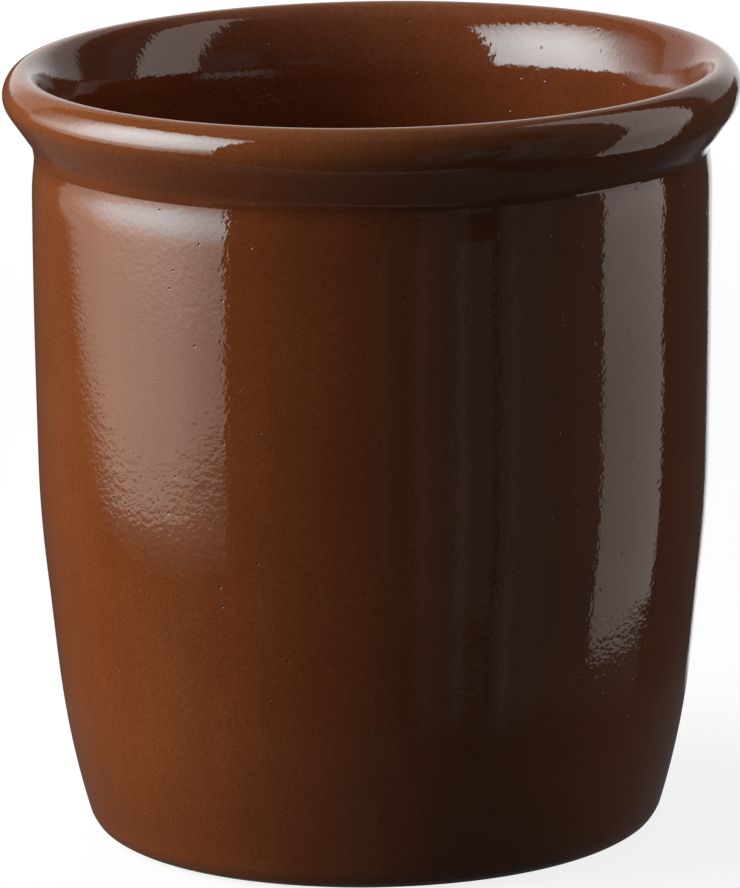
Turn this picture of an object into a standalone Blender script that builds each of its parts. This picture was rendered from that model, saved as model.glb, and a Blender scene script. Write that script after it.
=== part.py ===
# Preserving crock: one thrown stoneware jar with a rolled rim over a pinched neck,
# and a brown glaze poured inside and dipped outside. The foot is left bare.
# Metres, +Z up. The origin is the centre of the foot, on the surface that the crock stands on.
import math

import bmesh
import bpy
from mathutils import Vector
from mathutils.geometry import interpolate_bezier

# Outside of the crock, over the glaze
HEIGHT = 0.1663
WALL_RADIUS = 0.0724  # at the shoulder, just under the neck
HEEL_INSET = 0.0108  # how much narrower the heel is than the shoulder
HEEL_HEIGHT = 0.0047
FOOT_INSET = 0.0056  # from the heel in to the edge that the crock stands on

# Swell of the wall from heel to shoulder: share of the height, share of the swell, outward lean in degrees
WALL_SWELL = ((0.145, 0.425, 10.0), (0.386, 0.785, 6.5), (0.566, 0.94, 1.1))
HEEL_LEAN = 16.5

# Pinched neck under the rim: a tight crease between the shoulder and the roll
NECK_DEPTH = 0.0014  # in from the shoulder to the bottom of the crease
NECK_BELOW_TOP = 0.0177
CREASE_ROUND = 0.0005  # from the bottom of the crease up, down and out to where its sides start
CREASE_LEAN = 45.0
SHOULDER_TURN_BELOW_NECK = 0.0023
SHOULDER_TURN_INSET = 0.0004
SHOULDER_TURN_LEAN = -9.0
SHOULDER_BELOW_NECK = 0.0112

# Rolled rim
RIM_OVERHANG = 0.0061  # out from the shoulder to the widest part of the roll
WIDEST_BELOW_TOP = 0.0052
UNDERCUT_INSET = 0.0026  # where the underside starts to round out, in from the widest part
UNDERCUT_BELOW_WIDEST = 0.0060
UNDERCUT_LEAN = 36.0
CREST_INSET = 0.0041
LIP_INSET = 0.0036  # from the crest in to where the mouth starts to funnel
LIP_BELOW_TOP = 0.0023
LIP_LEAN = 34.0
FUNNEL_INSET = 0.0036  # from the lip in to the lower funnel
FUNNEL_BELOW_TOP = 0.0108
FUNNEL_LEAN = 12.5

# Inside of the crock, over the glaze
NECK_THICKNESS = 0.0044
THROAT_BELOW_TOP = 0.0160
THROAT_LEAN = 3.5
WALL_THICKNESS = 0.0065
FLOOR_THICKNESS = 0.0080
FLOOR_FILLET = 0.0120

# Bare underside
FOOT_RING_WIDTH = 0.0095
RECESS_DEPTH = 0.0012
RECESS_SLOPE = 0.0020

# Glaze
GLAZE_THICKNESS = 0.0004
GLAZE_START = 0.0007  # height above the foot at which the dipped glaze was wiped off
SEAT_GAP = 0.0003  # between the clay and its glaze, and between the two glazes

# Facets
TURN_STEPS = 48
DEGREES_PER_FACET = 20.0
FEWEST_FACETS = 2
SHARP_DEGREES = 40.0
WELD = 1e-6

# Finishes: linear colour and roughness
BARE_CLAY = ((0.44, 0.31, 0.20), 0.85)
DIPPED_BROWN = ((0.15, 0.042, 0.014), 0.12)
POURED_BROWN = ((0.13, 0.034, 0.012), 0.15)

# What the neighbours share
heel_radius = WALL_RADIUS - HEEL_INSET
foot_radius = heel_radius - FOOT_INSET
neck_radius = WALL_RADIUS - NECK_DEPTH
neck_height = HEIGHT - NECK_BELOW_TOP
shoulder_height = neck_height - SHOULDER_BELOW_NECK
rim_radius = WALL_RADIUS + RIM_OVERHANG
crest_radius = rim_radius - CREST_INSET
widest_height = HEIGHT - WIDEST_BELOW_TOP
throat_radius = neck_radius - NECK_THICKNESS
throat_height = HEIGHT - THROAT_BELOW_TOP
clay_depth = GLAZE_THICKNESS + SEAT_GAP  # from the glazed surface in to the clay


def wall_knots():
    """Knots up the wall from heel to shoulder, as radius, height and heading: 0 is outward, 90 is up."""
    rise = shoulder_height - HEEL_HEIGHT
    knots = [(heel_radius, HEEL_HEIGHT, 90 - HEEL_LEAN)]
    for height_share, swell_share, lean in WALL_SWELL:
        radius = heel_radius + HEEL_INSET * swell_share
        knots.append((radius, HEEL_HEIGHT + rise * height_share, 90 - lean))
    knots.append((WALL_RADIUS, shoulder_height, 90))
    return knots


def outside_knots():
    """Knots up the outside, from the edge of the foot to the crest."""
    turn_height = neck_height - SHOULDER_TURN_BELOW_NECK
    return [
        (foot_radius, 0.0, 0),
        *wall_knots(),
        (WALL_RADIUS - SHOULDER_TURN_INSET, turn_height, 90 - SHOULDER_TURN_LEAN),
        (neck_radius + CREASE_ROUND, neck_height - CREASE_ROUND, 90 + CREASE_LEAN),
        (neck_radius, neck_height, 90),
        (neck_radius + CREASE_ROUND, neck_height + CREASE_ROUND, 90 - CREASE_LEAN),
        (rim_radius - UNDERCUT_INSET, widest_height - UNDERCUT_BELOW_WIDEST, 90 - UNDERCUT_LEAN),
        (rim_radius, widest_height, 90),
        (crest_radius, HEIGHT, 180),
    ]


def inside_knots():
    """Knots down the inside, from the crest to the edge of the flat floor."""
    lip_radius = crest_radius - LIP_INSET
    knots = [
        (crest_radius, HEIGHT, 180),
        (lip_radius, HEIGHT - LIP_BELOW_TOP, 270 - LIP_LEAN),
        (lip_radius - FUNNEL_INSET, HEIGHT - FUNNEL_BELOW_TOP, 270 - FUNNEL_LEAN),
        (throat_radius, throat_height, 270 - THROAT_LEAN),
    ]
    fillet_top = FLOOR_THICKNESS + FLOOR_FILLET
    wall = [knot for knot in reversed(wall_knots()) if knot[1] > fillet_top]
    for radius, height, heading in wall:
        knots.append((radius - WALL_THICKNESS, height, heading + 180))
    outer_radius, lean = wall_at(fillet_top)
    fillet_radius = outer_radius - WALL_THICKNESS
    knots.append((fillet_radius, fillet_top, 270 - lean))
    floor_radius = fillet_radius - FLOOR_FILLET * math.tan(math.radians(45 + lean / 2))
    knots.append((floor_radius, FLOOR_THICKNESS, 180))
    return knots


def smooth(knots):
    """Points on a curve that meets each knot at its heading, closer together where it bends."""
    points = [Vector(knots[0][:2])]
    for (r0, z0, heading0), (r1, z1, heading1) in zip(knots, knots[1:]):
        start, end = Vector((r0, z0)), Vector((r1, z1))
        reach = (end - start).length / 3
        leave = Vector((math.cos(math.radians(heading0)), math.sin(math.radians(heading0))))
        arrive = Vector((math.cos(math.radians(heading1)), math.sin(math.radians(heading1))))
        facets = max(FEWEST_FACETS, math.ceil(abs(heading1 - heading0) / DEGREES_PER_FACET))
        curve = interpolate_bezier(start, start + leave * reach, end - arrive * reach, end, facets + 1)
        points.extend(curve[1:])
    return points


def wall_at(height):
    """Outer radius and outward lean in degrees of the wall, at a height between heel and shoulder."""
    points = smooth(wall_knots())
    for low, high in zip(points, points[1:]):
        if low.y <= height <= high.y:
            slope = (high.x - low.x) / (high.y - low.y)
            return low.x + slope * (height - low.y), math.degrees(math.atan(slope))
    return WALL_RADIUS, 0.0


def sunk(points, depth):
    """The same outline moved into the material, which lies to the left of its direction of travel."""
    moved = []
    for index, point in enumerate(points):
        before = points[max(index - 1, 0)]
        after = points[min(index + 1, len(points) - 1)]
        along = (after - before).normalized()
        moved.append(point + Vector((-along.y, along.x)) * depth)
    return moved


def turned(name, outline, material, closed):
    """A solid turned about the Z axis: a ring where the outline closes, or else one that ends on the axis."""
    bm = bmesh.new()
    verts = [bm.verts.new((point.x, 0.0, point.y)) for point in outline]
    edges = [bm.edges.new(pair) for pair in zip(verts, verts[1:])]
    if closed:
        edges.append(bm.edges.new((verts[-1], verts[0])))
    bmesh.ops.spin(
        bm,
        geom=verts + edges,
        axis=(0.0, 0.0, 1.0),
        cent=(0.0, 0.0, 0.0),
        angle=math.tau,
        steps=TURN_STEPS,
        use_merge=True,
    )
    bmesh.ops.remove_doubles(bm, verts=bm.verts, dist=WELD)
    bmesh.ops.recalc_face_normals(bm, faces=bm.faces)
    mesh = bpy.data.meshes.new(name)
    bm.to_mesh(mesh)
    bm.free()
    mesh.shade_smooth()
    mesh.set_sharp_from_angle(angle=math.radians(SHARP_DEGREES))
    mesh.materials.append(material)
    obj = bpy.data.objects.new(name, mesh)
    bpy.context.scene.collection.objects.link(obj)
    return obj


def finish(name, color, roughness):
    """A glaze or clay finish: neither is metallic."""
    material = bpy.data.materials.new(name)
    material.use_nodes = True
    shader = material.node_tree.nodes["Principled BSDF"]
    shader.inputs["Base Color"].default_value = (*color, 1.0)
    shader.inputs["Roughness"].default_value = roughness
    return material


def height_split(points, height):
    """The outline below and above a height, each with the point where the outside crosses that height."""
    for index, (low, high) in enumerate(zip(points, points[1:])):
        if low.y <= height < high.y:
            crossing = low.lerp(high, (height - low.y) / (high.y - low.y))
            return points[: index + 1] + [crossing], [crossing] + points[index + 1 :]
    return points, []


def shifted(points, index, step):
    """The outline with one of its points moved sideways."""
    moved = list(points)
    moved[index] = points[index] + Vector((step, 0.0))
    return moved


def main():
    for obj in list(bpy.data.objects):
        bpy.data.objects.remove(obj, do_unlink=True)

    # The whole glazed outline, from the edge of the foot over the rim to the middle of the floor
    outline = smooth(outside_knots() + inside_knots()[1:])
    outline.append(Vector((0.0, FLOOR_THICKNESS)))
    bare, dipped = height_split(outline, GLAZE_START)
    clay_face = sunk(dipped, clay_depth)

    recess_radius = foot_radius - FOOT_RING_WIDTH
    underside = [
        Vector((0.0, RECESS_DEPTH)),
        Vector((recess_radius - RECESS_SLOPE, RECESS_DEPTH)),
        Vector((recess_radius, 0.0)),
    ]
    clay = finish("bare_stoneware", *BARE_CLAY)
    turned("stoneware_body", underside + bare + clay_face, clay, closed=False)

    # The two coats of glaze, which stop short of each other on the crest
    glazed = height_split(outline, GLAZE_START + SEAT_GAP)[1]
    glaze_back = sunk(glazed, GLAZE_THICKNESS)
    crest = max(range(len(glazed)), key=lambda index: glazed[index].y)
    half_gap = SEAT_GAP / 2

    outer_face = shifted(glazed[: crest + 1], -1, half_gap)
    outer_back = shifted(glaze_back[: crest + 1], -1, half_gap)
    dipped_glaze = finish("dipped_brown_glaze", *DIPPED_BROWN)
    turned("outer_glaze", outer_face + outer_back[::-1], dipped_glaze, closed=True)

    inner_face = shifted(glazed[crest:], 0, -half_gap)
    inner_back = shifted(glaze_back[crest:], 0, -half_gap)
    poured_glaze = finish("poured_brown_glaze", *POURED_BROWN)
    turned("inner_glaze", inner_face[::-1] + inner_back, poured_glaze, closed=False)


main()
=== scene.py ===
# The looks of a brown preserving crock: two coats of glossy glaze over a turned stoneware jar.
# Metres, +Z up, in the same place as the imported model.
import math

import bpy
from mathutils import Matrix, Vector
from mathutils.geometry import interpolate_bezier


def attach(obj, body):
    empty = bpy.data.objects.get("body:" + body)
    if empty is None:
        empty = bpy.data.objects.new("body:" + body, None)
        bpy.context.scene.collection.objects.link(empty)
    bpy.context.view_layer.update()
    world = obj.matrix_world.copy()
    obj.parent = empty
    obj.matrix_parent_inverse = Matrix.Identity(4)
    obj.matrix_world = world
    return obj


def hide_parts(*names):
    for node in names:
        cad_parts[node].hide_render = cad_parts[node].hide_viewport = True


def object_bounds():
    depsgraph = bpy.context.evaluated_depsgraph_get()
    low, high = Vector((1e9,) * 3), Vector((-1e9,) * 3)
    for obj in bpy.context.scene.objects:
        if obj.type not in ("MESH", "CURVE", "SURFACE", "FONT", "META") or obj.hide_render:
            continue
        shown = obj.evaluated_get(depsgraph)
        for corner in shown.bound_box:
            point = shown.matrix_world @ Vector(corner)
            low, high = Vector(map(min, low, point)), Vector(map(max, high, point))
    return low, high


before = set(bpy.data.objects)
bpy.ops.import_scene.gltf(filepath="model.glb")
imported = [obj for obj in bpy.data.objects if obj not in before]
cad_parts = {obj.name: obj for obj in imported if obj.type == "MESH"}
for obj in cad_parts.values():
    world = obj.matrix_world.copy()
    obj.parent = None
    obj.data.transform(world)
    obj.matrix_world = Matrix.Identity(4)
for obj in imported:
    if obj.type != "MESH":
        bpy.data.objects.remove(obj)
cadLow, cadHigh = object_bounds()
print("frame loaded with", len(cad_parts), "nodes")

# The crock's own shape, measured over the glaze. Height and widest radius come from the frame.
crock = {
    "height": cadHigh.z,
    "rimRadius": cadHigh.x + 0.0003,
    "rimOverhang": 0.0061,
    "heelInset": 0.0108,
    "heelHeight": 0.0047,
    "heelLean": 16.5,
    "footInset": 0.0056,
    # share of the wall's height, share of the swell and outward lean in degrees
    "swell": ((0.145, 0.425, 10.0), (0.386, 0.785, 6.5), (0.566, 0.94, 1.1)),
    "neckDepth": 0.0005,
    "neckBelowTop": 0.01825,
    "neckFlat": 0.0005,  # upright stretch under the crease
    "hollow": ((0.00002, 0.00005, 14.0), (0.00145, 0.0031, 37.0)),  # out from the neck, up from it, lean
    "turnBelowNeck": 0.0031,
    "turnInset": 0.00033,
    "turnLean": -7.0,
    "shoulderBelowNeck": 0.0089,
    "widestBelowTop": 0.0052,
    "undercutInset": 0.00235,
    "undercutBelowWidest": 0.0060,
    "undercutLean": 36.0,
    "crestInset": 0.0041,
    "lipInset": 0.0036,
    "lipBelowTop": 0.0023,
    "lipLean": 34.0,
    "funnelInset": 0.0036,
    "funnelBelowTop": 0.0108,
    "funnelLean": 12.5,
    "neckThickness": 0.0053,
    "throatBelowTop": 0.0160,
    "throatLean": 3.5,
    "wallThickness": 0.0065,
    "floorThickness": 0.0080,
    "floorFillet": 0.0120,
    "grain": 0.0011,  # spacing of the outline's points on plain stretches
    "degreesPerPoint": 3.0,
    "fewestPoints": 3,
}
crock["wallRadius"] = crock["rimRadius"] - crock["rimOverhang"]
crock["heelRadius"] = crock["wallRadius"] - crock["heelInset"]
crock["footRadius"] = crock["heelRadius"] - crock["footInset"]
crock["neckRadius"] = crock["wallRadius"] - crock["neckDepth"]
crock["neckHeight"] = crock["height"] - crock["neckBelowTop"]
crock["shoulderHeight"] = crock["neckHeight"] - crock["shoulderBelowNeck"]
crock["widestHeight"] = crock["height"] - crock["widestBelowTop"]
crock["crestRadius"] = crock["rimRadius"] - crock["crestInset"]
crock["throatRadius"] = crock["neckRadius"] - crock["neckThickness"]
crock["throatHeight"] = crock["height"] - crock["throatBelowTop"]


def wallKnots():
    # radius, height and heading up the wall: 0 runs outward, 90 runs up
    c = crock
    rise = c["shoulderHeight"] - c["heelHeight"]
    knots = [(c["heelRadius"], c["heelHeight"], 90 - c["heelLean"])]
    for high, share, lean in c["swell"]:
        knots.append((c["heelRadius"] + c["heelInset"] * share, c["heelHeight"] + rise * high, 90 - lean))
    knots.append((c["wallRadius"], c["shoulderHeight"], 90))
    return knots


def outsideKnots():
    c = crock
    turnHeight = c["neckHeight"] - c["turnBelowNeck"]
    undercutHeight = c["widestHeight"] - c["undercutBelowWidest"]
    return [
        (c["footRadius"], 0.0, 0),
        *wallKnots(),
        (c["wallRadius"] - c["turnInset"], turnHeight, 90 - c["turnLean"]),
        (c["neckRadius"], c["neckHeight"] - c["neckFlat"], 90),
        (c["neckRadius"], c["neckHeight"], 90),
        *[(c["neckRadius"] + out, c["neckHeight"] + up, 90 - lean) for out, up, lean in c["hollow"]],
        (c["rimRadius"] - c["undercutInset"], undercutHeight, 90 - c["undercutLean"]),
        (c["rimRadius"], c["widestHeight"], 90),
        (c["crestRadius"], c["height"], 180),
    ]


def insideKnots():
    c = crock
    lipRadius = c["crestRadius"] - c["lipInset"]
    knots = [
        (lipRadius, c["height"] - c["lipBelowTop"], 270 - c["lipLean"]),
        (lipRadius - c["funnelInset"], c["height"] - c["funnelBelowTop"], 270 - c["funnelLean"]),
        (c["throatRadius"], c["throatHeight"], 270 - c["throatLean"]),
    ]
    filletTop = c["floorThickness"] + c["floorFillet"]
    for radius, high, heading in reversed(wallKnots()):
        if high > filletTop:
            knots.append((radius - c["wallThickness"], high, heading + 180))
    outer, lean = wallAt(filletTop)
    inner = outer - c["wallThickness"]
    knots.append((inner, filletTop, 270 - lean))
    knots.append((inner - c["floorFillet"] * math.tan(math.radians(45 + lean / 2)), c["floorThickness"], 180))
    return knots


def throughKnots(knots, grain):
    # a smooth line through the knots, with more points where it bends
    points = [Vector(knots[0][:2])]
    for (r0, z0, heading0), (r1, z1, heading1) in zip(knots, knots[1:]):
        start, end = Vector((r0, z0)), Vector((r1, z1))
        reach = (end - start).length / 3
        leave = Vector((math.cos(math.radians(heading0)), math.sin(math.radians(heading0))))
        arrive = Vector((math.cos(math.radians(heading1)), math.sin(math.radians(heading1))))
        bends = math.ceil(abs(heading1 - heading0) / crock["degreesPerPoint"])
        steps = max(math.ceil(3 * reach / grain), bends, crock["fewestPoints"])
        points += interpolate_bezier(start, start + leave * reach, end - arrive * reach, end, steps + 1)[1:]
    return points


def wallAt(high):
    points = throughKnots(wallKnots(), crock["grain"])
    for low, top in zip(points, points[1:]):
        if low.y <= high <= top.y:
            slope = (top.x - low.x) / (top.y - low.y)
            return low.x + slope * (high - low.y), math.degrees(math.atan(slope))
    return crock["wallRadius"], 0.0


def alongLine(points):
    # distance run at each point
    runs = [0.0]
    for before, after in zip(points, points[1:]):
        runs.append(runs[-1] + (after - before).length)
    return runs


def sideOf(points, index):
    # into the clay, which lies to the left of the way the line runs
    along = (points[min(index + 1, len(points) - 1)] - points[max(index - 1, 0)]).normalized()
    return Vector((-along.y, along.x))


def sunk(points, depth):
    # depth is one number, or one for each point
    depths = depth if isinstance(depth, list) else [depth] * len(points)
    return [point + sideOf(points, i) * depths[i] for i, point in enumerate(points)]


def bendOf(points, window=0.0022):
    # how sharply the surface turns round each point, in radians per millimetre: above zero on an edge, below
    # zero in a hollow
    runs = alongLine(points)
    bends = []
    for i in range(len(points)):
        a = i
        while a > 0 and runs[i] - runs[a] < window:
            a -= 1
        b = i
        while b < len(points) - 1 and runs[b] - runs[i] < window:
            b += 1
        if a == i or b == i:
            bends.append(0.0)
            continue
        first = (points[i] - points[a]).normalized()
        second = (points[b] - points[i]).normalized()
        turn = math.atan2(first.x * second.y - first.y * second.x, first.dot(second))
        bends.append(turn / ((runs[b] - runs[a]) / 2) / 1000)
    return bends


def addNode(tree, kind, x, y, **settings):
    node = tree.nodes.new(kind)
    node.location = (x, y)
    for name, value in settings.items():
        setattr(node, name, value)
    return node


def link(tree, source, target):
    tree.links.new(source, target)


def mathNode(tree, operation, x, y, *values):
    node = addNode(tree, "ShaderNodeMath", x, y, operation=operation)
    for i, value in enumerate(values):
        if isinstance(value, bpy.types.NodeSocket):
            link(tree, value, node.inputs[i])
        else:
            node.inputs[i].default_value = value
    return node.outputs[0]


def addSockets(tree, inputs, outputs):
    for name, kind, value in inputs:
        socket = tree.interface.new_socket(name, in_out="INPUT", socket_type=kind)
        if value is not None:
            socket.default_value = value
    for name, kind in outputs:
        tree.interface.new_socket(name, in_out="OUTPUT", socket_type=kind)


def inputIds(tree):
    sockets = [item for item in tree.interface.items_tree if item.item_type == "SOCKET"]
    return {socket.name: socket.identifier for socket in sockets if socket.in_out == "INPUT"}


def rowValue(tree, name, outline, row, x, y):
    # a number kept with the points of the outline, read for one row of the sheet
    kept = addNode(tree, "GeometryNodeInputNamedAttribute", x - 300, y, data_type="FLOAT")
    kept.inputs["Name"].default_value = name
    here = addNode(tree, "GeometryNodeSampleIndex", x, y, data_type="FLOAT", domain="POINT")
    link(tree, outline, here.inputs["Geometry"])
    link(tree, kept.outputs["Attribute"], here.inputs["Value"])
    link(tree, row, here.inputs["Index"])
    return here.outputs[0]


def pottersWheel():
    # turns an outline, given as loose points in the XZ plane, about the upright axis
    tree = bpy.data.node_groups.new("pottersWheel", "GeometryNodeTree")
    addSockets(
        tree,
        [
            ("Outline", "NodeSocketGeometry", None),
            ("Steps Round", "NodeSocketInt", 288),
            ("Wobble", "NodeSocketFloat", 0.0),
            ("Wobbles Per Metre", "NodeSocketFloat", 11.0),
            ("Lean", "NodeSocketFloat", 0.0),
            ("Middle Height", "NodeSocketFloat", 0.0),
            ("Seed", "NodeSocketInt", 1),
            ("Finish", "NodeSocketMaterial", None),
        ],
        [("Turned", "NodeSocketGeometry")],
    )
    start = addNode(tree, "NodeGroupInput", -1500, 0)
    count = addNode(tree, "GeometryNodeAttributeDomainSize", -1250, 300)
    link(tree, start.outputs["Outline"], count.inputs[0])
    rows = count.outputs["Point Count"]
    sheet = addNode(tree, "GeometryNodeMeshGrid", -950, 450)
    link(tree, mathNode(tree, "ADD", -1100, 450, start.outputs["Steps Round"], 1), sheet.inputs["Vertices X"])
    link(tree, rows, sheet.inputs["Vertices Y"])

    # each row of the sheet is one point of the outline, each column one step round
    index = addNode(tree, "GeometryNodeInputIndex", -1250, -100).outputs[0]
    row = mathNode(tree, "MODULO", -1000, -50, index, rows)
    column = mathNode(tree, "FLOOR", -850, -200, mathNode(tree, "DIVIDE", -1000, -200, index, rows))
    column = mathNode(tree, "MODULO", -700, -200, column, start.outputs["Steps Round"])
    share = mathNode(tree, "DIVIDE", -550, -200, column, start.outputs["Steps Round"])
    angle = mathNode(tree, "MULTIPLY", -400, -200, share, math.tau)

    place = addNode(tree, "GeometryNodeInputPosition", -1000, 150)
    here = addNode(tree, "GeometryNodeSampleIndex", -700, 150, data_type="FLOAT_VECTOR", domain="POINT")
    link(tree, start.outputs["Outline"], here.inputs["Geometry"])
    link(tree, place.outputs[0], here.inputs["Value"])
    link(tree, row, here.inputs["Index"])
    parts = addNode(tree, "ShaderNodeSeparateXYZ", -500, 150)
    link(tree, here.outputs[0], parts.inputs[0])
    radius, high = parts.outputs[0], parts.outputs[2]
    bend = rowValue(tree, "bend", start.outputs["Outline"], row, -700, 700)
    sway = rowValue(tree, "sway", start.outputs["Outline"], row, -700, 950)
    across = mathNode(tree, "MULTIPLY", -200, -100, mathNode(tree, "COSINE", -350, -100, angle), radius)
    deep = mathNode(tree, "MULTIPLY", -200, -250, mathNode(tree, "SINE", -350, -250, angle), radius)
    even = addNode(tree, "ShaderNodeCombineXYZ", 0, 0)
    link(tree, across, even.inputs[0])
    link(tree, deep, even.inputs[1])
    link(tree, high, even.inputs[2])

    # a hand-turned wall is never quite round
    unevenness = addNode(tree, "ShaderNodeTexNoise", 200, -200, noise_dimensions="4D")
    link(tree, even.outputs[0], unevenness.inputs["Vector"])
    link(tree, start.outputs["Seed"], unevenness.inputs["W"])
    link(tree, start.outputs["Wobbles Per Metre"], unevenness.inputs["Scale"])
    unevenness.inputs["Detail"].default_value = 1.0
    swing = mathNode(tree, "SUBTRACT", 400, -200, unevenness.outputs[0], 0.5)
    swing = mathNode(tree, "MULTIPLY", 550, -350, swing, turning["noiseGain"])
    swing = mathNode(tree, "MULTIPLY", 550, -200, swing, start.outputs["Wobble"])
    swing = mathNode(tree, "DIVIDE", 700, -350, swing, crock["wallRadius"])
    stretch = mathNode(tree, "ADD", 700, -200, swing, 1.0)
    shove = mathNode(tree, "SUBTRACT", 400, -500, high, start.outputs["Middle Height"])
    shove = mathNode(tree, "MULTIPLY_ADD", 550, -500, shove, start.outputs["Lean"], sway)
    leant = mathNode(tree, "ADD", 850, -100, mathNode(tree, "MULTIPLY", 850, -250, across, stretch), shove)
    final = addNode(tree, "ShaderNodeCombineXYZ", 1050, 0)
    link(tree, leant, final.inputs[0])
    link(tree, mathNode(tree, "MULTIPLY", 850, -400, deep, stretch), final.inputs[1])
    link(tree, high, final.inputs[2])
    move = addNode(tree, "GeometryNodeSetPosition", 1200, 300)
    link(tree, sheet.outputs[0], move.inputs["Geometry"])
    link(tree, final.outputs[0], move.inputs["Position"])

    # the bend goes with each point, for where the glaze runs thin
    keep = addNode(tree, "GeometryNodeStoreNamedAttribute", 1400, 300, data_type="FLOAT", domain="POINT")
    keep.inputs["Name"].default_value = "bend"
    link(tree, move.outputs[0], keep.inputs["Geometry"])
    link(tree, bend, keep.inputs["Value"])

    seam = addNode(tree, "GeometryNodeMergeByDistance", 1600, 300)
    seam.inputs["Distance"].default_value = turning["weld"]
    link(tree, keep.outputs[0], seam.inputs["Geometry"])
    soft = addNode(tree, "GeometryNodeSetShadeSmooth", 1800, 300)
    link(tree, seam.outputs[0], soft.inputs["Geometry"])
    real = addNode(tree, "GeometryNodeRealizeInstances", 2000, 300)
    link(tree, soft.outputs[0], real.inputs[0])
    finish = addNode(tree, "GeometryNodeSetMaterial", 2200, 300)
    link(tree, real.outputs[0], finish.inputs["Geometry"])
    link(tree, start.outputs["Finish"], finish.inputs["Material"])
    end = addNode(tree, "NodeGroupOutput", 2400, 300)
    link(tree, finish.outputs[0], end.inputs[0])
    return tree


turning = {
    "stepsRound": 288,
    "wobble": 0.00010,
    "wobblesPerMetre": 11.0,
    "noiseGain": 4.0,  # brings the noise to about one wobble each way
    "lean": 0.0110,  # the fired crock stands half a degree off upright
    "seed": 4,
    "sharpDegrees": 38.0,
    "weld": 0.000004,
}

# The roll was pushed a little to one side as it was folded over
pushed = {
    "aside": 0.00058,
    "heights": (0.1482, 0.1515, 0.1555, 0.1600),  # none, all, all, none
    "outside": 0.0706,  # radius beyond which a point belongs to the outside
}


def swayOf(point):
    first, full, last, none = pushed["heights"]
    if point.x < pushed["outside"]:
        return 0.0
    share = max(0.0, min((point.y - first) / (full - first), (none - point.y) / (none - last), 1.0))
    return pushed["aside"] * share * share * (3 - 2 * share)


def turnPiece(name, outline, finish):
    sheet = bpy.data.meshes.new(name + "Outline")
    sheet.from_pydata([(p.x, 0.0, p.y) for p in outline], [], [])
    bend = sheet.attributes.new("bend", "FLOAT", "POINT")
    bend.data.foreach_set("value", bendOf(outline))
    sway = sheet.attributes.new("sway", "FLOAT", "POINT")
    sway.data.foreach_set("value", [swayOf(p) for p in outline])
    piece = bpy.data.objects.new(name, sheet)
    bpy.context.scene.collection.objects.link(piece)
    wheel = piece.modifiers.new("wheel", "NODES")
    wheel.node_group = wheelTree
    ids = inputIds(wheelTree)
    wheel[ids["Steps Round"]] = turning["stepsRound"]
    wheel[ids["Wobble"]] = turning["wobble"]
    wheel[ids["Wobbles Per Metre"]] = turning["wobblesPerMetre"]
    wheel[ids["Lean"]] = turning["lean"]
    wheel[ids["Middle Height"]] = crock["height"] / 2
    wheel[ids["Seed"]] = turning["seed"]
    wheel[ids["Finish"]] = finish
    depsgraph = bpy.context.evaluated_depsgraph_get()
    turned = bpy.data.meshes.new_from_object(
        piece.evaluated_get(depsgraph), preserve_all_data_layers=True, depsgraph=depsgraph
    )
    piece.modifiers.remove(wheel)
    piece.data = turned
    turned.name = name
    turned.set_sharp_from_angle(angle=math.radians(turning["sharpDegrees"]))
    print(name, "turned:", len(turned.polygons), "faces")
    return piece


# Finishes

def objectPlace(tree, x, y):
    return addNode(tree, "ShaderNodeTexCoord", x, y).outputs["Object"]


def noiseNode(tree, vector, scale, detail, x, y, roughness=0.5):
    node = addNode(tree, "ShaderNodeTexNoise", x, y)
    link(tree, vector, node.inputs["Vector"])
    for socket, value in (("Scale", scale), ("Detail", detail), ("Roughness", roughness)):
        if isinstance(value, bpy.types.NodeSocket):
            link(tree, value, node.inputs[socket])
        else:
            node.inputs[socket].default_value = value
    return node.outputs[0]


def stretchedPlace(tree, vector, scale, x, y):
    node = addNode(tree, "ShaderNodeVectorMath", x, y, operation="MULTIPLY")
    link(tree, vector, node.inputs[0])
    node.inputs[1].default_value = scale
    return node.outputs[0]


def spots(tree, vector, scale, reach, x, y):
    # 1 on scattered dots, 0 from reach outward, where reach is a share of their spacing
    core = reach * 0.35
    node = addNode(tree, "ShaderNodeTexVoronoi", x, y)
    link(tree, vector, node.inputs["Vector"])
    if isinstance(scale, bpy.types.NodeSocket):
        link(tree, scale, node.inputs["Scale"])
    else:
        node.inputs["Scale"].default_value = scale
    fade = addNode(tree, "ShaderNodeMapRange", x + 180, y, interpolation_type="SMOOTHSTEP")
    link(tree, node.outputs["Distance"], fade.inputs["Value"])
    fade.inputs["From Min"].default_value = reach
    fade.inputs["From Max"].default_value = core
    return fade.outputs[0]


def aboutZero(tree, noise, reach, x, y):
    # a noise moved to lie about zero, up to half of reach each way
    return mathNode(tree, "MULTIPLY", x, y, mathNode(tree, "SUBTRACT", x - 150, y, noise, 0.5), reach)


def mixColours(tree, share, first, second, x, y, blend="MIX"):
    node = addNode(tree, "ShaderNodeMix", x, y, data_type="RGBA", blend_type=blend)
    link(tree, share, node.inputs["Factor"])
    for socket, colour in (("A", first), ("B", second)):
        if isinstance(colour, bpy.types.NodeSocket):
            link(tree, colour, node.inputs[socket])
        else:
            node.inputs[socket].default_value = colour
    return node.outputs["Result"]


glazeMarks = {
    "strokeStretch": (110.0, 110.0, 700.0),  # throwing marks run round the pot
    "pitsPerMetre": 205.0,
    "pitReach": 0.085,
    "gritPerMetre": 430.0,
    "gritReach": 0.10,
    "gritHeight": 0.006,
}


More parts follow.
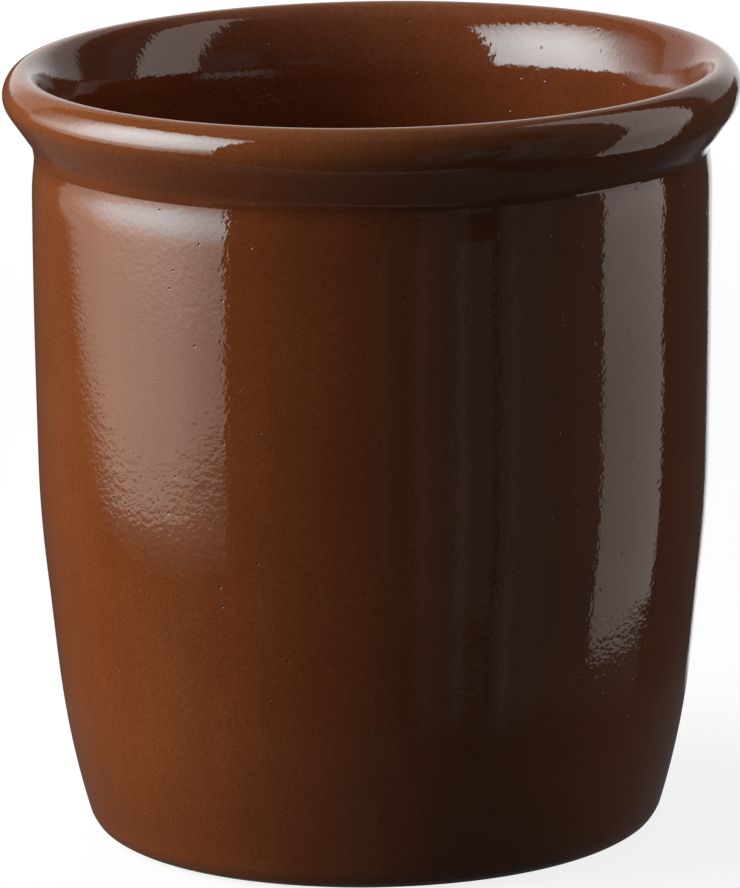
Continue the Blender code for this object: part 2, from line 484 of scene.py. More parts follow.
def glazeReliefGroup():
    # height of the glazed surface in millimetres
    tree = bpy.data.node_groups.new("glazeRelief", "ShaderNodeTree")
    addSockets(
        tree,
        [
            ("Peel Height", "NodeSocketFloat", 0.006),
            ("Peels Per Metre", "NodeSocketFloat", 1300.0),
            ("Dimple Height", "NodeSocketFloat", 0.006),
            ("Dimples Per Metre", "NodeSocketFloat", 420.0),
            ("Wave Height", "NodeSocketFloat", 0.02),
            ("Waves Per Metre", "NodeSocketFloat", 120.0),
            ("Stroke Height", "NodeSocketFloat", 0.003),
            ("Pit Depth", "NodeSocketFloat", 0.05),
        ],
        [("Relief", "NodeSocketFloat"), ("Pits", "NodeSocketFloat")],
    )
    start = addNode(tree, "NodeGroupInput", -900, 0)
    place = objectPlace(tree, -900, 300)
    drawnOut = stretchedPlace(tree, place, glazeMarks["strokeStretch"], -750, -200)
    layers = (
        (place, start.outputs["Peels Per Metre"], 1.0, "Peel Height"),
        (place, start.outputs["Dimples Per Metre"], 1.0, "Dimple Height"),
        (place, start.outputs["Waves Per Metre"], 1.0, "Wave Height"),
        (drawnOut, 1.0, 2.0, "Stroke Height"),
    )
    total = 0.0
    for i, (where, scale, detail, height) in enumerate(layers):
        down = 550 - 250 * i
        noise = noiseNode(tree, where, scale, detail, -600, down)
        layer = aboutZero(tree, noise, start.outputs[height], -200, down)
        total = mathNode(tree, "ADD", 150 * i, 400, layer, total)
    pits = spots(tree, place, glazeMarks["pitsPerMetre"], glazeMarks["pitReach"], -600, -450)
    grit = spots(tree, place, glazeMarks["gritPerMetre"], glazeMarks["gritReach"], -600, -700)
    total = mathNode(tree, "MULTIPLY_ADD", 600, 300, grit, glazeMarks["gritHeight"], total)
    dip = mathNode(tree, "MULTIPLY", -200, -450, pits, start.outputs["Pit Depth"])
    total = mathNode(tree, "SUBTRACT", 750, 300, total, dip)
    end = addNode(tree, "NodeGroupOutput", 900, 0)
    link(tree, total, end.inputs["Relief"])
    link(tree, pits, end.inputs["Pits"])
    return tree


glazeTones = {
    "cloudsPerMetre": 26.0,
    "cloudShare": 0.9,
    "runStretch": (190.0, 190.0, 14.0),  # runs hang down the wall
    "runShare": 0.35,
    "grainsPerMetre": 1500.0,
    "grainShare": 1.3,
    "bendShare": 2.2,  # how much thinner the glaze lies on an edge
    "specksPerMetre": 380.0,
    "speckReach": 0.10,
    "speckShare": 0.7,
    "speckDull": 0.2,
    "glossDrift": 0.04,
}


def glazeDepthGroup():
    # colour of the glaze where it lies thin, even and deep, and how glossy it is
    tree = bpy.data.node_groups.new("glazeDepth", "ShaderNodeTree")
    addSockets(
        tree,
        [
            ("Thin Colour", "NodeSocketColor", (0.3, 0.1, 0.03, 1)),
            ("Even Colour", "NodeSocketColor", (0.2, 0.05, 0.01, 1)),
            ("Deep Colour", "NodeSocketColor", (0.1, 0.03, 0.01, 1)),
            ("Speck Colour", "NodeSocketColor", (0.03, 0.015, 0.008, 1)),
            ("Bend", "NodeSocketFloat", 0.0),
            ("Pits", "NodeSocketFloat", 0.0),
            ("Gloss", "NodeSocketFloat", 0.1),
        ],
        [("Colour", "NodeSocketColor"), ("Roughness", "NodeSocketFloat")],
    )
    tones = glazeTones
    start = addNode(tree, "NodeGroupInput", -1200, 0)
    place = objectPlace(tree, -1200, 400)
    hung = stretchedPlace(tree, place, tones["runStretch"], -1050, 150)
    cloud = noiseNode(tree, place, tones["cloudsPerMetre"], 3.0, -900, 400)
    runs = noiseNode(tree, hung, 1.0, 2.0, -900, 150)
    grain = noiseNode(tree, place, tones["grainsPerMetre"], 2.0, -900, -100)
    depth = aboutZero(tree, cloud, tones["cloudShare"], -600, 400)
    depth = mathNode(tree, "ADD", -450, 250, depth, aboutZero(tree, runs, tones["runShare"], -600, 150))
    depth = mathNode(tree, "ADD", -450, 400, depth, aboutZero(tree, grain, tones["grainShare"], -600, -100))
    depth = mathNode(tree, "MULTIPLY_ADD", -300, 300, start.outputs["Bend"], tones["bendShare"], depth)
    thinness = mathNode(tree, "MAXIMUM", -150, 350, depth, 0.0)
    deepness = mathNode(tree, "MULTIPLY", 0, 50, mathNode(tree, "MINIMUM", -150, 50, depth, 0.0), -1.0)
    dark = spots(tree, place, tones["specksPerMetre"], tones["speckReach"], -900, -350)
    dark = mathNode(tree, "MAXIMUM", -500, -350, dark, start.outputs["Pits"])
    darkness = mathNode(tree, "MULTIPLY", -300, -350, dark, tones["speckShare"])
    colour = mixColours(tree, thinness, start.outputs["Even Colour"], start.outputs["Thin Colour"], 0, 300)
    colour = mixColours(tree, deepness, colour, start.outputs["Deep Colour"], 200, 300)
    colour = mixColours(tree, darkness, colour, start.outputs["Speck Colour"], 400, 300)
    drift = mathNode(tree, "SUBTRACT", 50, -200, cloud, 0.5)
    rough = mathNode(tree, "MULTIPLY_ADD", 200, -200, drift, tones["glossDrift"], start.outputs["Gloss"])
    rough = mathNode(tree, "MULTIPLY_ADD", 350, -200, dark, tones["speckDull"], rough)
    end = addNode(tree, "NodeGroupOutput", 650, 0)
    link(tree, colour, end.inputs["Colour"])
    link(tree, rough, end.inputs["Roughness"])
    return tree


def newFinish(name):
    finish = bpy.data.materials.new(name)
    finish.use_nodes = True
    return finish, finish.node_tree, finish.node_tree.nodes["Principled BSDF"]


def addGroup(tree, group, x, y, values):
    node = addNode(tree, "ShaderNodeGroup", x, y, node_tree=group)
    for name, value in values.items():
        node.inputs[name].default_value = value
    return node


def addBump(tree, height, shader, x, y):
    bump = addNode(tree, "ShaderNodeBump", x, y)
    bump.inputs["Strength"].default_value = 1.0
    bump.inputs["Distance"].default_value = 0.001  # heights are in millimetres
    link(tree, height, bump.inputs["Height"])
    link(tree, bump.outputs[0], shader.inputs["Normal"])


def glazeFinish(name, depth, relief, lustre):
    finish, tree, shader = newFinish(name)
    bend = addNode(tree, "ShaderNodeAttribute", -900, 200, attribute_name="bend")
    surface = addGroup(tree, glazeRelief, -650, -200, relief)
    colour = addGroup(tree, glazeDepth, -400, 200, depth)
    link(tree, bend.outputs["Fac"], colour.inputs["Bend"])
    link(tree, surface.outputs["Pits"], colour.inputs["Pits"])
    link(tree, colour.outputs["Colour"], shader.inputs["Base Color"])
    link(tree, colour.outputs["Roughness"], shader.inputs["Roughness"])
    shader.inputs["IOR"].default_value = lustre
    addBump(tree, surface.outputs["Relief"], shader, -200, -200)
    return finish


dippedGlaze = {
    "depth": {
        "Thin Colour": (0.293, 0.092, 0.0275, 1),
        "Even Colour": (0.195, 0.050, 0.0122, 1),
        "Deep Colour": (0.112, 0.026, 0.0064, 1),
        "Speck Colour": (0.035, 0.014, 0.006, 1),
        "Gloss": 0.05,
    },
    "relief": {
        "Peel Height": 0.026,
        "Peels Per Metre": 950.0,
        "Dimple Height": 0.018,
        "Dimples Per Metre": 420.0,
        "Wave Height": 0.030,
        "Waves Per Metre": 95.0,
        "Stroke Height": 0.007,
        "Pit Depth": 0.06,
    },
    "lustre": 1.55,
}
pouredGlaze = {
    "depth": {
        "Thin Colour": (0.295, 0.093, 0.035, 1),
        "Even Colour": (0.19, 0.050, 0.016, 1),
        "Deep Colour": (0.116, 0.0285, 0.0087, 1),
        "Speck Colour": (0.035, 0.014, 0.006, 1),
        "Gloss": 0.055,
    },
    "relief": {
        "Peel Height": 0.030,
        "Peels Per Metre": 900.0,
        "Dimple Height": 0.018,
        "Dimples Per Metre": 380.0,
        "Wave Height": 0.034,
        "Waves Per Metre": 80.0,
        "Stroke Height": 0.005,
        "Pit Depth": 0.06,
    },
    "lustre": 1.55,
}


def clayFinish(settings):
    # fired clay with turning rings, sand and a toasted edge
    finish, tree, shader = newFinish("bareStoneware")
    place = objectPlace(tree, -1300, 0)
    flat = stretchedPlace(tree, place, (1.0, 1.0, 0.0), -1150, -200)
    fromAxis = addNode(tree, "ShaderNodeVectorMath", -1000, -200, operation="LENGTH")
    link(tree, flat, fromAxis.inputs[0])
    rings = addNode(tree, "ShaderNodeTexNoise", -800, -200, noise_dimensions="1D")
    link(tree, fromAxis.outputs["Value"], rings.inputs["W"])
    rings.inputs["Scale"].default_value = settings["ringsPerMetre"]
    rings.inputs["Detail"].default_value = 3.0
    rings = rings.outputs[0]
    sand = noiseNode(tree, place, settings["grainsPerMetre"], 3.0, -800, -450)
    grit = spots(tree, place, settings["gritPerMetre"], settings["gritReach"], -800, -650)
    toast = noiseNode(tree, place, settings["toastPerMetre"], 4.0, -800, 200)
    ringShare = mathNode(tree, "MULTIPLY", -400, -50, rings, settings["ringShare"])
    gritShare = mathNode(tree, "MULTIPLY", -200, -50, grit, settings["gritShare"])
    colour = mixColours(tree, toast, settings["paleClay"], settings["toastedClay"], -400, 200)
    colour = mixColours(tree, ringShare, colour, settings["ringShade"], -200, 200, blend="MULTIPLY")
    colour = mixColours(tree, gritShare, colour, settings["fleck"], 0, 200)
    link(tree, colour, shader.inputs["Base Color"])
    rough = mathNode(tree, "MULTIPLY_ADD", 0, -100, sand, settings["sandRoughness"], settings["roughness"])
    link(tree, rough, shader.inputs["Roughness"])
    high = mathNode(tree, "MULTIPLY", -400, -300, rings, settings["ringHeight"])
    high = mathNode(tree, "MULTIPLY_ADD", -200, -300, sand, settings["grainHeight"], high)
    addBump(tree, high, shader, 0, -300)
    return finish


bareClay = {
    "paleClay": (0.50, 0.36, 0.23, 1),
    "toastedClay": (0.38, 0.25, 0.15, 1),
    "toastPerMetre": 38.0,
    "ringShade": (0.72, 0.62, 0.52, 1),
    "ringShare": 0.45,
    "ringsPerMetre": 900.0,
    "ringHeight": 0.10,
    "fleck": (0.12, 0.07, 0.04, 1),
    "gritPerMetre": 520.0,
    "gritReach": 0.16,
    "gritShare": 0.8,
    "grainsPerMetre": 1400.0,
    "grainHeight": 0.05,
    "roughness": 0.72,
    "sandRoughness": 0.2,
}

wheelTree = pottersWheel()
glazeRelief = glazeReliefGroup()
glazeDepth = glazeDepthGroup()
dippedFinish = glazeFinish("dippedBrownGlaze", **dippedGlaze)
pouredFinish = glazeFinish("pouredBrownGlaze", **pouredGlaze)
clayBare = clayFinish(bareClay)
print("finishes mixed")

# The whole glazed outline, from the edge of the foot over the crest to the middle of the floor
whole = throughKnots(outsideKnots() + insideKnots(), crock["grain"])
crest = max(range(len(whole)), key=lambda i: whole[i].y)

coats = {
    "start": 0.0008,  # height at which the dipped glaze was wiped off
    "clayDepth": 0.0007,
    "thickness": 0.00062,
    "edgeDepth": 0.00004,
    "beadHeight": 0.00010,
    "beadFromEdge": 0.0016,
    "beadLength": 0.0010,
    "nearCrest": 0.00003,  # extra points hug the crest, so that the shine runs over it unbroken
    "lap": 0.0003,
    "lapDepth": 0.00001,
    "backGrain": 6,  # every so many points are kept on a side that never shows
}


def thinned(points):
    last = [points[-1]] if (len(points) - 1) % coats["backGrain"] else []
    return points[:: coats["backGrain"]] + last


def dippedOutline():
    front = [p for p in whole[: crest + 1] if p.y >= coats["start"]]
    swell = []
    for run in alongLine(front):
        fromBead = (run - coats["beadFromEdge"]) / coats["beadLength"]
        swell.append(-coats["beadHeight"] * math.exp(-(fromBead**2)))
    edge = front[0] + sideOf(front, 0) * coats["edgeDepth"]
    back = thinned(sunk(front, coats["thickness"]))
    front = sunk(front, swell)
    top = front[-1]
    front[-1:] = [top + (front[-2] - top).normalized() * coats["nearCrest"], top]
    # past the crest it slips under the poured coat
    lap = top + Vector((-coats["lap"], -coats["lapDepth"]))
    return [edge] + front + [lap] + back[::-1] + [edge]


def pouredOutline():
    front = whole[crest:]
    back = thinned(sunk(front, coats["thickness"]))
    beside = front[0] + (front[1] - front[0]).normalized() * coats["nearCrest"]
    face = [front[0], beside] + front[1:]
    back[-1] = Vector((0.0, back[-1].y))
    return back[::-1] + face + [Vector((0.0, crock["floorThickness"]))]


foot = {
    "ring": 0.0095,
    "recess": 0.0012,
    "slope": 0.0020,
    "recessEdge": ((1, 1), (0.7, 0.9), (0.2, 0.15)),  # shares of the slope and of the recess
    "innerEase": 0.0004,
    "outerEase": 0.0003,
}


def clayOutline():
    recess = foot["recess"]
    inner = crock["footRadius"] - foot["ring"]
    under = [
        Vector((0.0, recess)),
        *[Vector((inner - foot["slope"] * back, recess * rise)) for back, rise in foot["recessEdge"]],
        Vector((inner + foot["innerEase"], 0.0)),
        Vector((crock["footRadius"] - foot["outerEase"], 0.0)),
    ]
    bare = [p for p in whole[: crest + 1] if p.y < coats["start"]]
    covered = thinned(sunk([p for p in whole if p not in bare], coats["clayDepth"]))
    return under + bare + covered + [Vector((0.0, crock["floorThickness"] - coats["clayDepth"]))]


outerCoat = turnPiece("outerCoat", dippedOutline(), dippedFinish)
innerCoat = turnPiece("innerCoat", pouredOutline(), pouredFinish)
clayJar = turnPiece("clayJar", clayOutline(), clayBare)

for piece, node, slot in (
    (outerCoat, "outer_glaze", "dipped_glaze"),
    (innerCoat, "inner_glaze", "poured_glaze"),
    (clayJar, "stoneware_body", "bare_stoneware"),
):
    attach(piece, "root")
    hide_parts(node)
print("crock turned and glazed")

# Studio
studio = {
    "floorRadius": 3.0,
    "floorLevel": -0.0001,  # just clear of the foot
    "floorColour": (0.22, 0.22, 0.22, 1),
    "floorBounce": (0.13, 0.13, 0.13, 1),  # what the floor throws back on the crock
    "floorGlow": 0.84,
    "floorWhitens": (0.35, 1.3),  # radii between which the floor fades to the white of the backdrop
    "tableGlow": 0.073,
    "tableFade": (0.16, 0.12),  # radii between which the shine sees the table on the floor
    "roomGlow": 0.045,
    "backdropGlow": 1.0,
    "backdropFill": 0.30,
    "sideGlow": 0.45,  # the backdrop's share of glow towards its sides
}

# Where the backdrop and the table stand for the shine, as parts of a direction of length 1.
# X is to the right, Y to the back and Z up, and a pair runs from none to all.
mirrored = {
    "backdropBack": (0.60, 0.66),
    "backdropUp": (0.02, 0.07),
    "middleBack": (0.80, 0.95),
    "wingBack": (0.915, 0.94),  # the backdrop hangs lower to the right of the middle
    "wingRight": (0.0, 0.03),
    "wingUp": (-0.32, -0.26),
    "tableSlope": 0.577,
    "tablePast": (-0.02, 0.0),
    "tableDown": (-0.35, -0.45),
    "tableLeft": (0.50, 0.30),
    "edgePast": (0.07, 0.05),
    "edgeGlow": 0.13,
    "panelSide": 0.012,  # softness of the panels' edges
    "panelFoot": 0.05,
    "panelTop": 0.02,
}

# What the shine sees in the dim room: turn from and to, height from and to in degrees, brightness.
# A turn of 0 is the camera's side and 90 is the right.
roomPanels = (
    (2, 5, -22, -7, 0.05),
    (12, 17, -24, -7, 0.05),
    (15, 32, -38, 12, 0.07),
    (28, 41, -26, -8, 0.09),
    (47, 50, -34, -5, 0.07),
    (43, 62, -38, 20, 0.10),
    (62, 112, -38, 60, 0.075),
    (-185, 185, 52, 90, 0.10),
)


def stageMesh(name, corners, material):
    mesh = bpy.data.meshes.new(name)
    mesh.from_pydata(corners, [], [tuple(range(len(corners)))])
    mesh.materials.append(material)
    thing = bpy.data.objects.new(name, mesh)
    bpy.context.scene.collection.objects.link(thing)
    return thing


def fadeBetween(tree, value, low, high, x, y):
    node = addNode(tree, "ShaderNodeMapRange", x, y, interpolation_type="SMOOTHSTEP")
    link(tree, value, node.inputs["Value"])
    node.inputs["From Min"].default_value = low
    node.inputs["From Max"].default_value = high
    return node.outputs[0]


def mixShaders(tree, share, first, second, x, y):
    mix = addNode(tree, "ShaderNodeMixShader", x, y)
    link(tree, share, mix.inputs[0])
    link(tree, first, mix.inputs[1])
    link(tree, second, mix.inputs[2])
    return mix.outputs[0]


def fadeAt(tree, value, middle, soft, x, y):
    # rises through middle, or falls where soft is below zero
    return fadeBetween(tree, value, middle - soft, middle + soft, x, y)


def allOf(tree, x, y, first, *others):
    for i, other in enumerate(others):
        first = mathNode(tree, "MULTIPLY", x + 150 * i, y, first, other)
    return first


def paleFloor():
    finish = bpy.data.materials.new("paleFloor")
    finish.use_nodes = True
    tree = finish.node_tree
    tree.nodes.clear()
    rays = addNode(tree, "ShaderNodeLightPath", -1100, 300)
    tones = (studio["floorColour"], studio["floorBounce"])
    tone = mixColours(tree, rays.outputs["Is Diffuse Ray"], *tones, -700, 250)
    matte = addNode(tree, "ShaderNodeBsdfDiffuse", -500, 200)
    link(tree, tone, matte.inputs["Color"])
    fromAxis = addNode(tree, "ShaderNodeVectorMath", -1100, -300, operation="LENGTH")
    link(tree, objectPlace(tree, -1300, -300), fromAxis.inputs[0])
    fromAxis = fromAxis.outputs["Value"]
    far = fadeBetween(tree, fromAxis, *studio["floorWhitens"], -1100, 0)
    white = mathNode(tree, "MULTIPLY_ADD", -900, 0, far, 1.0 - studio["floorGlow"], studio["floorGlow"])
    white = mathNode(tree, "MULTIPLY", -700, 0, rays.outputs["Is Camera Ray"], white)
    glow = addNode(tree, "ShaderNodeEmission", -500, 50)
    link(tree, white, glow.inputs["Strength"])
    lit = addNode(tree, "ShaderNodeAddShader", -300, 150)
    link(tree, matte.outputs[0], lit.inputs[0])
    link(tree, glow.outputs[0], lit.inputs[1])
    # the shine sees a dim table close round the crock and none of the floor beyond it
    near = fadeBetween(tree, fromAxis, *studio["tableFade"], -700, -300)
    table = addNode(tree, "ShaderNodeEmission", -300, -300)
    table.inputs["Strength"].default_value = studio["tableGlow"]
    clear = addNode(tree, "ShaderNodeBsdfTransparent", -300, -100)
    below = mixShaders(tree, near, clear.outputs[0], table.outputs[0], -200, -100)
    final = mixShaders(tree, rays.outputs["Is Glossy Ray"], lit.outputs[0], below, -100, 100)
    link(tree, final, addNode(tree, "ShaderNodeOutputMaterial", 300, 0).inputs["Surface"])
    around = 64
    reach, level = studio["floorRadius"], studio["floorLevel"]
    turns = [math.tau * i / around for i in range(around)]
    stageMesh("floor", [(reach * math.cos(turn), reach * math.sin(turn), level) for turn in turns], finish)


def studioWorld():
    # white to the camera; the shine sees a dim room with the lit backdrop behind the crock
    world = bpy.data.worlds.new("studio")
    bpy.context.scene.world = world
    world.use_nodes = True
    tree = world.node_tree
    tree.nodes.clear()
    rays = addNode(tree, "ShaderNodeLightPath", -300, 400)
    way = addNode(tree, "ShaderNodeTexCoord", -1500, 0)
    parts = addNode(tree, "ShaderNodeSeparateXYZ", -1300, 0)
    link(tree, way.outputs["Generated"], parts.inputs[0])
    x, y, z = parts.outputs
    behind = fadeBetween(tree, y, *mirrored["backdropBack"], -900, 200)
    above = fadeBetween(tree, z, *mirrored["backdropUp"], -900, 0)
    backdrop = mathNode(tree, "MULTIPLY", -700, 100, behind, above)
    middle = fadeBetween(tree, y, *mirrored["middleBack"], -900, 400)
    middle = mathNode(tree, "MULTIPLY_ADD", -700, 400, middle, 1.0 - studio["sideGlow"], studio["sideGlow"])
    wing = allOf(
        tree,
        -700,
        -150,
        fadeBetween(tree, y, *mirrored["wingBack"], -900, -200),
        fadeBetween(tree, x, *mirrored["wingRight"], -900, -400),
        fadeBetween(tree, z, *mirrored["wingUp"], -700, -400),
    )
    white = mathNode(tree, "MAXIMUM", -400, 0, mathNode(tree, "MULTIPLY", -550, 50, backdrop, middle), wing)
    level = mathNode(tree, "MULTIPLY_ADD", -250, 0, white, studio["backdropGlow"], studio["roomGlow"])
    fill, dim = studio["backdropFill"], studio["roomGlow"]
    forMatte = mathNode(tree, "MULTIPLY_ADD", -250, -150, backdrop, fill, dim)

    turn = mathNode(tree, "ARCTAN2", -1100, -600, x, mathNode(tree, "MULTIPLY", -1250, -600, y, -1.0))
    side, base, top = mirrored["panelSide"], mirrored["panelFoot"], mirrored["panelTop"]
    for i, (left, right, low, high, glow) in enumerate(roomPanels):
        down = -800 - 300 * i
        panel = allOf(
            tree,
            -700,
            down,
            fadeAt(tree, turn, math.radians(left), side, -1100, down),
            fadeAt(tree, turn, math.radians(right), -side, -1100, down - 150),
            fadeAt(tree, z, math.sin(math.radians(low)), base, -900, down),
            fadeAt(tree, z, math.sin(math.radians(high)), -top, -900, down - 150),
        )
        level = mathNode(tree, "MULTIPLY_ADD", -200, down, panel, glow, level)

    # looking steeply down past the roll, the shine meets the table with a brighter straight edge
    past = mathNode(tree, "MULTIPLY_ADD", -1100, 700, z, -mirrored["tableSlope"], y)
    table = allOf(
        tree,
        -700,
        700,
        fadeBetween(tree, past, *mirrored["tablePast"], -900, 700),
        fadeBetween(tree, z, *mirrored["tableDown"], -900, 850),
        fadeBetween(tree, x, *mirrored["tableLeft"], -900, 1150),
    )
    edge = fadeBetween(tree, past, *mirrored["edgePast"], -900, 1000)
    edge = mathNode(tree, "MULTIPLY_ADD", -700, 900, edge, mirrored["edgeGlow"], studio["tableGlow"])
    level = mathNode(tree, "MULTIPLY_ADD", -200, 700, table, edge, level)

    shine = addNode(tree, "ShaderNodeBackground", 0, 0)
    link(tree, level, shine.inputs["Strength"])
    matte = addNode(tree, "ShaderNodeBackground", 0, -150)
    link(tree, forMatte, matte.inputs["Strength"])
    plain = addNode(tree, "ShaderNodeBackground", 0, 200)
    for tone in (shine, matte, plain):
        tone.inputs["Color"].default_value = (1, 1, 1, 1)
    unseen = mixShaders(tree, rays.outputs["Is Glossy Ray"], matte.outputs[0], shine.outputs[0], 250, -50)
    final = mixShaders(tree, rays.outputs["Is Camera Ray"], unseen, plain.outputs[0], 450, 100)
    link(tree, final, addNode(tree, "ShaderNodeOutputWorld", 650, 100).inputs["Surface"])


def glowRamp(tree, value, stops, x, y):
    # stops are places in rising order, each with a brightness and a tint; gives a colour and its strength
    low, high = stops[0][0], stops[-1][0]
    most = max(strength for _, strength, _ in stops)
    level = addNode(tree, "ShaderNodeMapRange", x, y)
    link(tree, value, level.inputs["Value"])
    level.inputs["From Min"].default_value = low
    level.inputs["From Max"].default_value = high
    ramp = addNode(tree, "ShaderNodeValToRGB", x + 180, y)
    link(tree, level.outputs[0], ramp.inputs[0])
    marks = ramp.color_ramp.elements
    while len(marks) < len(stops):
        marks.new(0.5)
    for mark, (place, strength, tint) in zip(marks, stops):
        mark.position = (place - low) / (high - low)
        mark.color = [part * strength / most for part in tint] + [1]
    return ramp.outputs["Color"], most


# Low down a card glows more evenly across, and high up it fades sooner
cardFall = {
    "unevenFrom": (-0.20, 0.05),  # heights
    "soonerFrom": (0.20, 0.75),
    "lowPower": 0.6,
    "uneven": 0.4,
    "sooner": 0.8,
}


def lightCard(name, azimuth, corners, glow, across=((-1.0, 1.0), (1.0, 1.0)), dimFoot=None):
    # a flat card that only the shine sees. Its corners are distance out, way across and height, its glow is a
    # list of height, brightness and tint, and across gives the share of that glow at ways across
    turn = math.radians(azimuth)
    out = Vector((math.sin(turn), -math.cos(turn), 0.0))
    side = Vector((math.cos(turn), math.sin(turn), 0.0))
    finish = bpy.data.materials.new(name)
    finish.use_nodes = True
    tree = finish.node_tree
    tree.nodes.clear()
    place = objectPlace(tree, -1100, 0)
    high = addNode(tree, "ShaderNodeSeparateXYZ", -900, 100)
    link(tree, place, high.inputs[0])
    high = high.outputs[2]
    way = addNode(tree, "ShaderNodeVectorMath", -900, -200, operation="DOT_PRODUCT")
    link(tree, place, way.inputs[0])
    way.inputs[1].default_value = side
    way = way.outputs["Value"]
    colour, strength = glowRamp(tree, high, glow, -700, 100)
    shares = [(where, share, (1, 1, 1)) for where, share in across]
    share, most = glowRamp(tree, way, shares, -700, -200)
    uneven = fadeBetween(tree, high, *cardFall["unevenFrom"], -700, -450)
    sooner = fadeBetween(tree, high, *cardFall["soonerFrom"], -700, -600)
    power = mathNode(tree, "MULTIPLY_ADD", -500, -450, uneven, cardFall["uneven"], cardFall["lowPower"])
    power = mathNode(tree, "MULTIPLY_ADD", -400, -500, sooner, cardFall["sooner"], power)
    share = mathNode(tree, "POWER", -350, -300, share, power)
    if dimFoot:
        share = mathNode(tree, "MULTIPLY", -100, -600, share, footShare(tree, way, high, **dimFoot))
    shine = addNode(tree, "ShaderNodeEmission", 0, 0)
    link(tree, colour, shine.inputs["Color"])
    link(tree, mathNode(tree, "MULTIPLY", -200, -200, share, strength * most), shine.inputs["Strength"])
    link(tree, shine.outputs[0], addNode(tree, "ShaderNodeOutputMaterial", 200, 0).inputs["Surface"])
    places = [out * away + side * aside + Vector((0, 0, up)) for away, aside, up in corners]
    card = stageMesh(name, [tuple(place) for place in places], finish)
    card.visible_camera = False
    card.visible_diffuse = False
    card.visible_transmission = False
    card.visible_shadow = False
    return card


def footShare(tree, way, high, lowDown, nearEnd, dim, slant, fade, rest):
    # dimmer low down near the right end, and a slanted foot below which only the rest is left
    corner = mathNode(
        tree,
        "MULTIPLY",
        -500,
        -800,
        fadeBetween(tree, high, *lowDown, -700, -700),
        fadeBetween(tree, way, *nearEnd, -700, -900),
    )
    corner = mathNode(tree, "MULTIPLY_ADD", -350, -800, corner, -dim, 1.0)
    slanted = mathNode(tree, "MULTIPLY_ADD", -900, -1100, way, -slant, high)
    lit = fadeBetween(tree, slanted, *fade, -700, -1100)
    lit = mathNode(tree, "MULTIPLY_ADD", -350, -1100, lit, 1.0 - rest, rest)
    return mathNode(tree, "MULTIPLY", -200, -800, corner, lit)


def softLight(name, azimuth, elevation, away, size, watts):
    lamp = bpy.data.lights.new(name, "AREA")
    lamp.shape = "RECTANGLE"
    lamp.size, lamp.size_y = size
    lamp.energy = watts
    holder = bpy.data.objects.new(name, lamp)
    turn, tilt = math.radians(azimuth), math.radians(elevation)
    way = Vector((math.sin(turn) * math.cos(tilt), -math.cos(turn) * math.cos(tilt), math.sin(tilt)))
    aim = Vector((0, 0, crock["height"] / 2))
    holder.location = aim + way * away
    holder.rotation_euler = way.to_track_quat("Z", "Y").to_euler()
    holder.visible_camera = False
    holder.visible_glossy = False
    bpy.context.scene.collection.objects.link(holder)


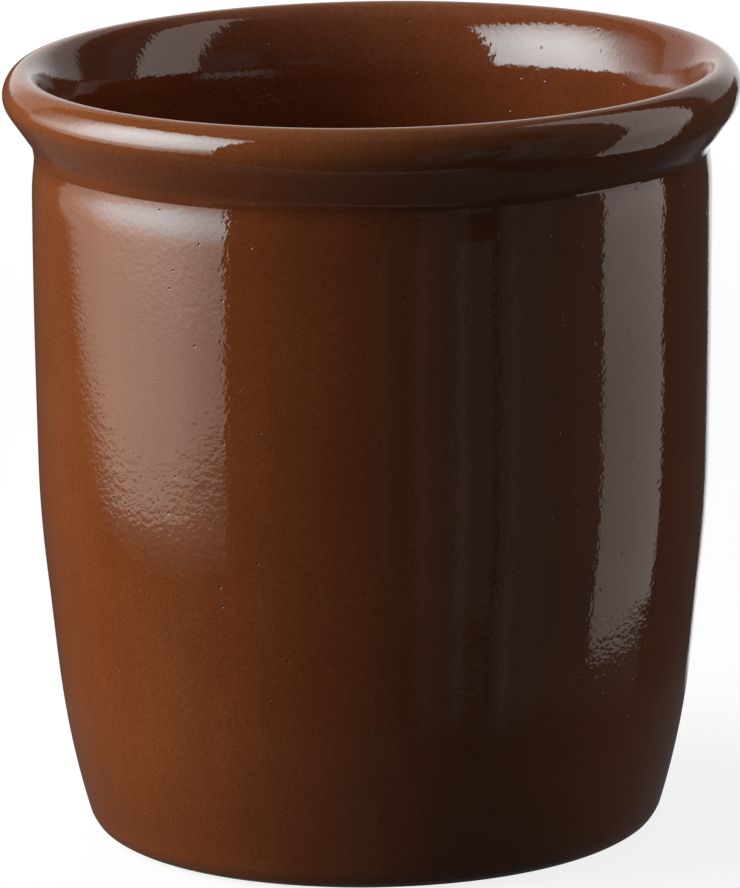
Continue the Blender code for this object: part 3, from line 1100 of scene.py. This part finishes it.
warm = (1.0, 0.90, 0.80)
cold = (0.84, 0.97, 1.0)
stripLow = (0.98, 0.88, 0.83)
stripHigh = (1.0, 0.92, 0.88)
leftSoftbox = {
    "azimuth": -62,
    "corners": ((1.2, -3.0, -0.374), (1.2, 0.233, -0.374), (1.2, 0.40, 1.375), (1.2, -3.0, 1.375)),
    "glow": (
        (-0.374, 0.0, warm),
        (-0.30, 1.4, warm),
        (-0.25, 2.5, warm),
        (-0.13, 2.6, warm),
        (-0.04, 4.4, warm),
        (0.03, 6.2, cold),
        (0.10, 7.6, cold),
        (0.50, 10.5, cold),
        (0.80, 11.5, cold),
        (1.10, 9.0, cold),
        (1.375, 4.0, cold),
    ),
    "across": (
        (-3.0, 0.07),
        (-2.8, 0.09),
        (-2.1, 0.18),
        (-1.6, 0.30),
        (-1.25, 0.42),
        (-1.04, 0.62),
        (-0.88, 0.78),
        (-0.68, 0.90),
        (-0.45, 1.0),
        (-0.10, 1.0),
        (0.15, 0.90),
        (0.362, 0.82),
    ),
    "dimFoot": {
        "lowDown": (0.30, 0.12),
        "nearEnd": (-0.25, 0.25),
        "dim": 0.30,
        "slant": 0.075,
        "fade": (-0.225, -0.19),
        "rest": 0.25,
    },
}
rightStrip = {
    "azimuth": 76,
    "corners": ((0.283, -0.008, -0.050), (0.283, 0.157, -0.050), (0.283, 0.150, 0.70), (0.283, -0.008, 0.70)),
    "glow": ((-0.05, 1.0, stripLow), (0.05, 1.02, stripLow), (0.12, 1.5, stripHigh), (0.70, 1.5, stripHigh)),
}
lamps = {
    "keyLight": {"azimuth": -88, "elevation": 20, "away": 1.1, "size": (1.0, 1.0), "watts": 19.5},
    "fillLight": {"azimuth": 105, "elevation": 15, "away": 1.1, "size": (0.6, 0.6), "watts": 2.2},
    "topLight": {"azimuth": 10, "elevation": 86, "away": 1.2, "size": (0.7, 0.7), "watts": 1.6},
}

paleFloor()
studioWorld()
lightCard("leftSoftbox", **leftSoftbox)
lightCard("rightStrip", **rightStrip)
for name, settings in lamps.items():
    softLight(name, **settings)
print("studio lit")

camera = {
    "away": 1.8966,
    "elevation": 12.89,
    "roll": 0.97,
    "aimAcross": -0.00080,
    "aimUp": -0.00024,
    "lens": 429.1,
    "sensor": 36.0,
    "clipEnd": 20.0,
}


def photoCamera():
    eye = bpy.data.cameras.new("photoCamera")
    eye.sensor_fit = "HORIZONTAL"
    eye.sensor_width = camera["sensor"]
    eye.lens = camera["lens"]
    eye.clip_end = camera["clipEnd"]
    eye.dof.use_dof = False
    holder = bpy.data.objects.new("photoCamera", eye)
    bpy.context.scene.collection.objects.link(holder)
    aim = Vector((camera["aimAcross"], 0, crock["height"] / 2 + camera["aimUp"]))
    tilt = math.radians(camera["elevation"])
    holder.location = aim + Vector((0, -math.cos(tilt), math.sin(tilt))) * camera["away"]
    look = (aim - holder.location).normalized()
    level = look.to_track_quat("-Z", "Y").to_matrix()
    holder.rotation_euler = (level @ Matrix.Rotation(math.radians(-camera["roll"]), 3, "Z")).to_euler()
    bpy.context.scene.camera = holder


photoCamera()
bpy.context.scene.view_settings.view_transform = "Standard"
